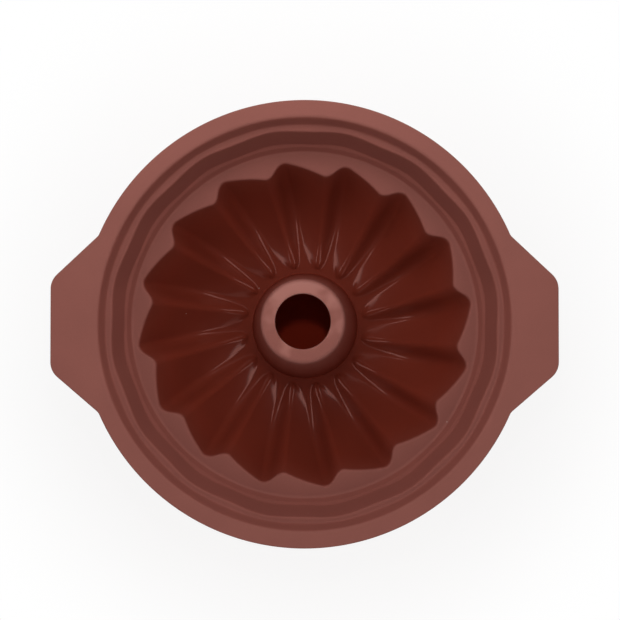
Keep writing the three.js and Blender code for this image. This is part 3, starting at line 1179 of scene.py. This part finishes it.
    def build(self, skin: SweptSkin, shade_and_finish: bpy.types.Material) -> list[bpy.types.Object]:
        """Makes the collar, the flutes and the tube, and sets them on the pan's body.

        Args:
            skin: the sweeping tree.
            shade_and_finish: the silicone, with its painted shade.

        Returns:
            The collar, the flutes and the tube.
        """
        rule = self.rule
        values = {
            "Material": shade_and_finish,
            "Flutes": float(rule.count),
            "First ridge": rule.first_ridge,
            "Ring valley": rule.top.valley,
            "Rim radius": self.rim.high.y,
            "Wave crest": rule.first_ridge + rule.top.valley * rule.pitch + self.wave_lag,
            "Floor blend": self.floor_blend,
        }
        flutes = [f"flute_{i + 1:02d}" for i in range(rule.count)]
        parts = {
            "collar_skin": BowlPart(
                self.collar_stations(), ["rim_step", "collar_wall", "shelf_step"], wave_depth=self.wave_depth,
            ),
            "flute_skin": BowlPart(self.flute_stations(), ["flute_shelf", *flutes], oval=self.flute_oval),
            "tube_skin": BowlPart(self.tube_stations(), ["floor_ring", "centre_tube", "tube_lip"]),
        }
        meshes = {
            name: skin.sweep(
                name, part.stations, self.ring(part.oval), {**values, "Wave depth": part.wave_depth},
            )
            for name, part in parts.items()
        }
        self.lean(meshes["tube_skin"])
        pieces = []
        for name, part in parts.items():
            piece = self.piece(meshes[name])
            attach(piece, "pan")
            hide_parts(*part.nodes)
            pieces.append(piece)
        return pieces


class Side(Enum):
    """The two tab handles, by the way they point along X."""

    LEFT = -1
    RIGHT = 1


@dataclass
class TabHalf:
    """Half of a tab's outline, from the middle of its end to the round rim, in the first quarter."""

    rim_radius: float
    end: float
    half_end: float
    half_root: float
    corner_radius: float = 0.011
    root_fillet: float = 0.005

    def __post_init__(self) -> None:
        """Works out the outline's corners and arcs."""
        end_corner = Vector((self.end, self.half_end))
        root_corner = Vector((math.sqrt(self.rim_radius ** 2 - self.half_root ** 2), self.half_root))
        slant = (root_corner - end_corner).normalized()
        self.slant_normal = Vector((slant.y, -slant.x))
        self.slant_reach = self.slant_normal.dot(end_corner)
        turn = math.atan2(self.slant_normal.y, self.slant_normal.x)
        straight = self.half_end - self.corner_radius * math.tan(turn / 2)
        self.corner_centre = Vector((self.end - self.corner_radius, straight))
        start = root_corner + self.slant_normal * self.root_fillet
        along = start.dot(slant)
        reach = self.rim_radius + self.root_fillet
        shift = -along - math.sqrt(along ** 2 - start.length_squared + reach ** 2)
        self.fillet_centre = start + slant * shift
        limits = (
            Vector((self.end, straight)),
            self.corner_centre + self.slant_normal * self.corner_radius,
            self.fillet_centre - self.slant_normal * self.root_fillet,
            self.fillet_centre,
        )
        self.limits = [math.atan2(p.y, p.x) for p in limits]

    @staticmethod
    def to_circle(way: Vector, centre: Vector, radius: float, side: int) -> float:
        """How far along a way from the axis a circle is met, on its far side, 1, or its near side, -1."""
        along = way.dot(centre)
        return along + side * math.sqrt(along ** 2 - centre.length_squared + radius ** 2)

    def reach(self, way: Vector) -> float:
        """How far the plate reaches from the axis.

        Args:
            way: direction in the first quarter.

        Returns:
            The distance to the end of the tab, its corner, its side, its root fillet or the round rim.
        """
        angle = math.atan2(way.y, way.x)
        end, corner, side, fillet = self.limits
        if angle < end:
            return self.end / way.x
        if angle < corner:
            return self.to_circle(way, self.corner_centre, self.corner_radius, 1)
        if angle < side:
            return self.slant_reach / self.slant_normal.dot(way)
        if angle < fillet:
            return self.to_circle(way, self.fillet_centre, self.root_fillet, -1)
        return self.rim_radius


@dataclass
class RimPlate(Skin):
    """The flat rim flange and the two tab handles, which are one plate."""

    CUT_TOLERANCE = 1e-6

    rim: NodeSizes = sizes_of("rim_flange")
    tab: NodeSizes = sizes_of("right_handle")
    rim_step: NodeSizes = sizes_of("rim_step")
    back_half_end: float = 0.0241
    back_half_root: float = 0.0491
    front_half_end: float = 0.0265
    front_half_root: float = 0.0496
    edge_band: float = 0.0012
    upper_edge_round: float = 0.0008
    lower_edge_round: float = 0.0006
    cut_inset: float = 0.006
    bend_half_length: float = 0.0055
    plain: FluteForm = FluteForm(valley=0.5, rounding=0.1, turn=0.0)
    ring_steps: int = 768
    plate_spacing: float = 0.0005

    def __post_init__(self) -> None:
        """Draws both halves of a tab: the back one, towards +Y, and the front one."""
        self.radius: float = self.rim.high.y
        self.back = TabHalf(self.radius, self.tab.high.x, self.back_half_end, self.back_half_root)
        self.front = TabHalf(self.radius, self.tab.high.x, self.front_half_end, self.front_half_root)

    def outline(self, angle: float) -> Point:
        """Finds the plate's edge.

        Args:
            angle: the angle around the pan.

        Returns:
            The point of the edge there.
        """
        way = Vector((math.cos(angle), math.sin(angle)))
        half = self.back if way.y > 0 else self.front
        reach = half.reach(Vector((abs(way.x), abs(way.y))))
        return (reach * way.x, reach * way.y, 0.0)

    def stations(self) -> list[Station]:
        """Draws the plate's closed section.

        Returns:
            Stations along its underside, up its edge and back along its top.
        """
        top, bottom = self.rim.high.z, self.rim.low.z
        seam = self.rim_step.largest_radius()
        band = self.radius - self.edge_band
        line = Section.filled(Section.rounded([
            Corner(seam, bottom),
            Corner(band, bottom, 0.0, 1.0),
            Corner(self.radius, bottom, self.lower_edge_round, 1.0),
            Corner(self.radius, top, self.upper_edge_round, 1.0),
            Corner(band, top, 0.0, 1.0),
            Corner(seam, top),
        ]), self.plate_spacing)
        return [Station(p, p, self.plain, Zone.MATT.value) for p in line]

    def cut(self, mesh: bpy.types.Mesh, name: str, planes: Sequence[tuple[float, int]]) -> bpy.types.Object:
        """Cuts a closed piece out of the plate.

        Args:
            mesh: the whole plate.
            name: name of the piece.
            planes: where to cut along X, and the side of each cut, 1 or -1, to take away.

        Returns:
            The piece, with its cut faces closed.
        """
        work = bmesh.new()
        work.from_mesh(mesh)
        for x, away in planes:
            everything = [*work.verts, *work.edges, *work.faces]
            made = bmesh.ops.bisect_plane(
                work, geom=everything, dist=self.CUT_TOLERANCE,
                plane_co=(x, 0, 0), plane_no=(away, 0, 0), clear_outer=True,
            )
            rim = [e for e in made["geom_cut"] if isinstance(e, bmesh.types.BMEdge)]
            bmesh.ops.holes_fill(work, edges=rim)
        bmesh.ops.recalc_face_normals(work, faces=work.faces)
        piece = mesh.copy()
        piece.name = name
        work.to_mesh(piece)
        work.free()
        return self.piece(piece)

    def build(self, skin: SweptSkin, shade_and_finish: bpy.types.Material) -> list[bpy.types.Object]:
        """Makes the rim and the two tabs, and sets them on their bodies.

        Args:
            skin: the sweeping tree.
            shade_and_finish: the silicone, with its painted shade.

        Returns:
            The rim, the left tab and the right tab.
        """
        angles = [2 * math.pi * i / self.ring_steps for i in range(self.ring_steps)]
        ring = [self.outline(angle) for angle in angles]
        plate = skin.sweep("rim_plate", self.stations(), ring, {
            "Material": shade_and_finish, "Flutes": 1.0, "First ridge": 0.0, "Ring valley": self.plain.valley,
            "Rim radius": self.radius, "Wave depth": 0.0, "Wave crest": 0.0, "Floor blend": 0.0,
        })
        cut_at = self.radius - self.cut_inset
        rim = self.cut(plate, "rim_skin", [(side.value * cut_at, side.value) for side in Side])
        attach(rim, "pan")
        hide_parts("rim_flange")
        pieces = [rim]
        middle = (self.rim.high.z + self.rim.low.z) / 2
        for side in Side:
            word = side.name.lower()
            tab = self.cut(plate, f"{word}_tab_skin", [(side.value * cut_at, -side.value)])
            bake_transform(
                tab, "pan", f"{word}_tab",
                start=(side.value * (self.radius - self.bend_half_length), 0.0, middle),
                end=(side.value * (self.radius + self.bend_half_length), 0.0, middle),
            )
            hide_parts(f"{word}_handle")
            pieces.append(tab)
        bpy.data.meshes.remove(plate)
        return pieces


@dataclass(frozen=True)
class Softbox:
    """A square studio lamp that points at the pan and isn't mirrored in it."""

    name: str
    from_vertical: float
    azimuth: float
    distance: float
    side: float
    power: float

    def build(self, target: Vector) -> None:
        """Hangs the lamp.

        Args:
            target: the point that it faces.
        """
        lamp = bpy.data.lights.new(self.name, "AREA")
        lamp.energy = self.power
        lamp.size = self.side
        tilt, turn = math.radians(self.from_vertical), math.radians(self.azimuth)
        away = Vector((math.sin(tilt) * math.cos(turn), math.sin(tilt) * math.sin(turn), math.cos(tilt)))
        made = bpy.data.objects.new(self.name, lamp)
        made.location = target + away * self.distance
        made.rotation_euler = (-away).to_track_quat("-Z", "Y").to_euler()
        made.visible_camera = False
        made.visible_glossy = False
        bpy.context.scene.collection.objects.link(made)


@dataclass
class Studio:
    """The pale floor, the light tent with its lamps, the white backdrop and the camera.

    The floor is painted red right under the tube, where only the bore shows it, as painted bounce light from
    the silicone. The tent has a ring of light, in degrees from overhead, which is pinker and stronger where
    the silicone mirrors it.
    """

    image_size: float = 620.0
    rim_centre_pixel: tuple[float, float] = (304.6, 323.5)
    rim_radius_pixels: float = 224.5
    camera_distance: float = 0.9
    camera_elevation: float = math.radians(88.6)
    floor_half: float = 12.0
    floor_drop: float = 0.0002
    floor_colour: Colour = (0.9, 0.9, 0.9)
    # Painted bounce light under the tube, seen only through the bore.
    painted_bounce_colour: Colour = (0.9, 0.08, 0.035)
    painted_bounce_reach: tuple[float, float] = (0.02, 0.04)
    near_white: float = 0.85
    near_from: float = 0.1
    near_to: float = 0.135
    clear_to: float = 0.25
    fill_light: float = 0.25
    panel_light: float = 3.1
    panel_colour: Colour = (1.0, 0.84, 0.79)
    glint_light: float = 5.2
    glint_colour: Colour = (1.0, 0.5, 0.43)
    panel_tilts: tuple[float, float, float, float] = (40.0, 44.0, 50.0, 54.0)
    panel_reach: tuple[float, float] = (0.1, 0.6)
    panel_ends: float = 0.16
    backdrop_heights: tuple[float, float] = (0.3, 0.42)
    lamps: tuple[Softbox, ...] = (
        Softbox("back_softbox", from_vertical=40.0, azimuth=97.0, distance=0.4, side=0.3, power=0.71),
        Softbox("front_softbox", from_vertical=55.0, azimuth=270.0, distance=0.8, side=0.3, power=0.6),
        Softbox("bore_lamp", from_vertical=10.0, azimuth=90.0, distance=0.8, side=0.04, power=0.25),
    )

    @staticmethod
    def seen(graph: Graph) -> Sock:
        """Tells what the camera sees from what only lights the pan.

        Args:
            graph: the tree of a material or the world.

        Returns:
            1 for what is seen directly, mirrored or through glass, else 0.
        """
        path = graph.node("ShaderNodeLightPath")
        hidden = 1 - path["Is Camera Ray"]
        for kind in ("Is Glossy Ray", "Is Transmission Ray"):
            hidden = hidden * (1 - path[kind])
        return 1 - hidden

    def floor(self) -> None:
        """Lays the floor: pale, with the pan's shadow near it, painted red right under the tube as painted
        bounce light, and plain white further away.
        """
        half = self.floor_half
        corners = ((-half, -half), (half, -half), (half, half), (-half, half))
        mesh = bpy.data.meshes.new("floor")
        mesh.from_pydata([(x, y, -self.floor_drop) for x, y in corners], [], [(0, 1, 2, 3)])
        material = bpy.data.materials.new("pale_floor")
        material.use_nodes = True
        graph = Graph(material.node_tree)
        place = graph.node("ShaderNodeTexCoord")["Object"]
        distance = graph.vector("LENGTH", {0: place})["Value"]
        near = distance.smooth_between(self.near_from, self.near_to) * self.near_white
        far = distance.smooth_between(self.near_to, self.clear_to) * (1 - self.near_white)
        # Painted bounce light: right under the tube the floor is painted red, as if lit by light from the
        # silicone.
        outside = distance.smooth_between(*self.painted_bounce_reach)
        colour = graph.mix(outside, opaque(self.painted_bounce_colour), opaque(self.floor_colour))
        paint = graph.node("ShaderNodeBsdfDiffuse", None, {"Color": colour})["BSDF"]
        white = graph.node("ShaderNodeEmission", None, {"Strength": 1.0})["Emission"]
        shown = graph.node(
            "ShaderNodeMixShader", None, {0: self.seen(graph) * (near + far), 1: paint, 2: white},
        )["Shader"]
        graph.node("ShaderNodeOutputMaterial", None, {"Surface": shown})
        mesh.materials.append(material)
        made = bpy.data.objects.new("floor", mesh)
        bpy.context.scene.collection.objects.link(made)

    def surroundings(self) -> None:
        """Sets up a round light tent that is dark overhead, and a white backdrop at the horizon."""
        world = bpy.data.worlds.new("studio")
        world.use_nodes = True
        graph = Graph(world.node_tree)
        way = graph.parts(graph.node("ShaderNodeTexCoord")["Generated"])
        inner, inner_full, outer_full, outer = (math.cos(math.radians(tilt)) for tilt in self.panel_tilts)
        band = way["Z"].smooth_between(outer, outer_full) * (1 - way["Z"].smooth_between(inner_full, inner))
        across = way["X"] * way["X"] / (way["X"] * way["X"] + way["Y"] * way["Y"])
        sides = self.panel_ends + across.smooth_between(*self.panel_reach) * (1 - self.panel_ends)
        mirrored = graph.node("ShaderNodeLightPath")["Is Glossy Ray"]
        strength = self.panel_light + mirrored * (self.glint_light - self.panel_light)
        light = (1 - mirrored) * self.fill_light + band * sides * strength
        backdrop = self.seen(graph) * (1 - way["Z"].smooth_between(*self.backdrop_heights))
        panel = graph.mix(mirrored, opaque(self.panel_colour), opaque(self.glint_colour))
        shown = graph.node("ShaderNodeBackground", None, {
            "Color": graph.mix(band, opaque(WHITE), panel),
            "Strength": light + backdrop * (1 - light),
        })
        graph.node("ShaderNodeOutputWorld", None, {"Surface": shown["Background"]})
        bpy.context.scene.world = world

    def camera(self) -> None:
        """Sets up the camera so that the rim lands where it is in the picture."""
        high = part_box("rim_flange")[1]
        scale = high.y / self.rim_radius_pixels
        middle = self.image_size / 2
        aim = Vector((
            (middle - self.rim_centre_pixel[0]) * scale,
            (self.rim_centre_pixel[1] - middle) * scale,
            high.z,
        ))
        back = Vector((0.0, -math.cos(self.camera_elevation), math.sin(self.camera_elevation)))
        lens = bpy.data.cameras.new("camera")
        lens.lens = lens.sensor_width * self.camera_distance / (self.image_size * scale)
        made = bpy.data.objects.new("camera", lens)
        made.location = aim + back * self.camera_distance
        made.rotation_euler = (-back).to_track_quat("-Z", "Y").to_euler()
        bpy.context.scene.collection.objects.link(made)
        bpy.context.scene.camera = made

    def build(self) -> None:
        """Makes the studio around the pan."""
        self.camera()
        self.floor()
        self.surroundings()
        low, high = CAD_BOX
        for lamp in self.lamps:
            lamp.build(Vector((0.0, 0.0, (low.z + high.z) / 2)))
        bpy.context.scene.view_settings.view_transform = "Standard"


def main() -> None:
    """Builds the studio and the pan."""
    logging.basicConfig(level=logging.INFO, format="%(name)s: %(message)s")
    Studio().build()
    skin = SweptSkin()
    bowl = Bowl()
    silicone = SiliconeWithPaintedShade("silicone", bowl.lip_centre).material()
    pieces = [*bowl.build(skin, silicone), *RimPlate().build(skin, silicone)]


if __name__ == "__main__":
    main()
